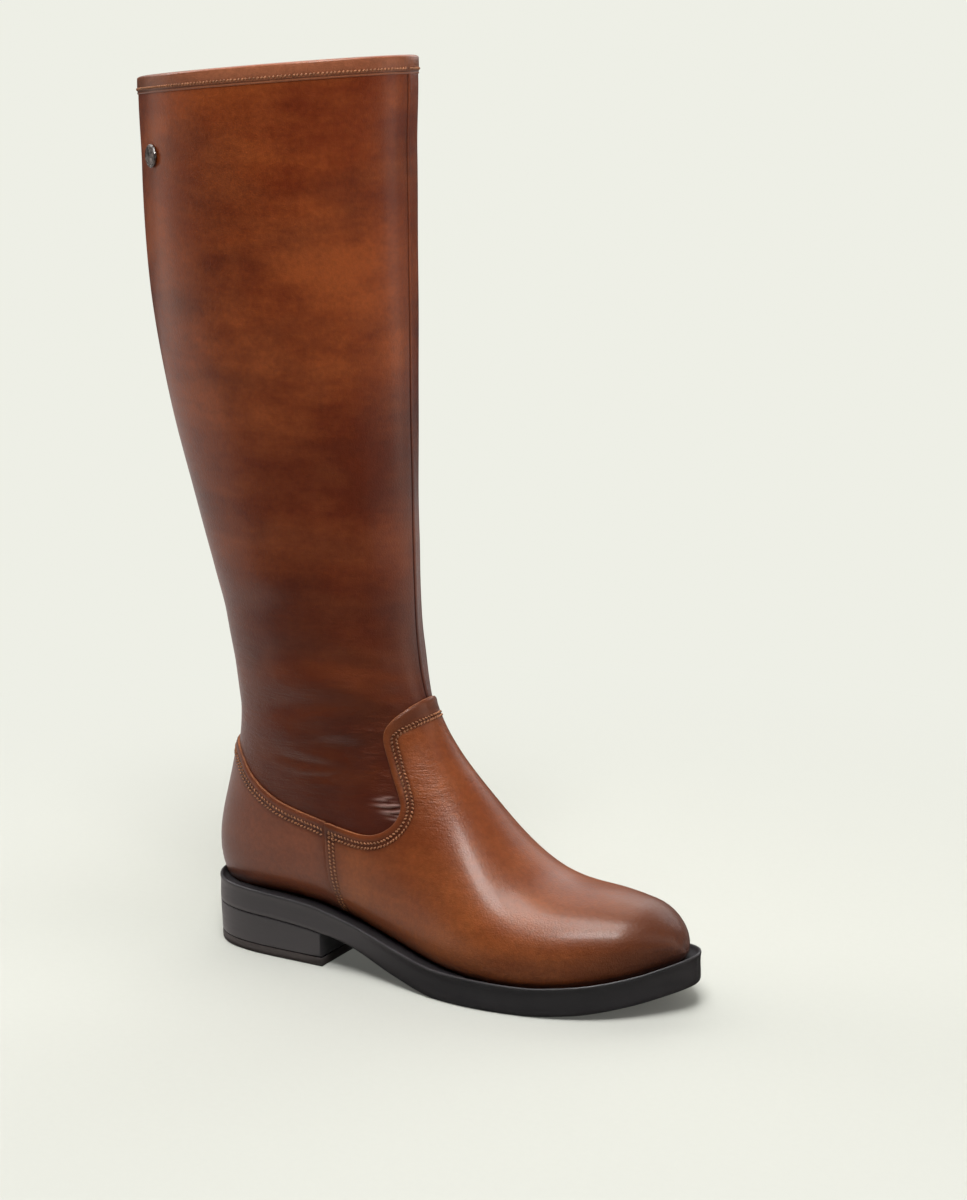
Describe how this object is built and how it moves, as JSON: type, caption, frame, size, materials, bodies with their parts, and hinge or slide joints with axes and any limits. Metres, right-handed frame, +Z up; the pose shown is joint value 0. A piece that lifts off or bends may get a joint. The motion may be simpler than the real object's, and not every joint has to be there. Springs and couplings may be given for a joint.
{
  "type": "knee-high boot",
  "caption": "Knee-high pull-on riding boot in smooth leather: tall shaft, stitched vamp and heel counter, bound collar, moulded rubber sole and a low block heel.",
  "frame": {"origin": "middle of the heel's flat ground face", "axes": "+X towards the toe, +Y to the wearer's left (the medial side of this right boot), +Z up"},
  "size_m": [0.2976, 0.1032, 0.4422],
  "materials": {
    "shaft_leather": "burnished smooth calf, reddish brown, soft sheen",
    "vamp_leather": "burnished smooth calf, warm chestnut, darker at the toe",
    "counter_leather": "burnished smooth calf, darker at the heel",
    "binding_leather": "smooth calf, folded edge",
    "insole_leather": "plain lining leather, matte",
    "sole_rubber": "moulded, brown black, satin",
    "heel_rubber": "moulded, brown black, satin",
    "lift_rubber": "top piece, dark brown, matte",
    "stud_metal": "plain dark nickel disc, unmarked"
  },
  "bodies": {
    "root": {"upper": "shaft_leather", "vamp": "vamp_leather", "heel_counter": "counter_leather", "collar_binding": "binding_leather", "insole": "insole_leather", "outsole": "sole_rubber", "heel_block": "heel_rubber", "heel_lift": "lift_rubber", "stud": "stud_metal"}
  },
  "joints": []
}
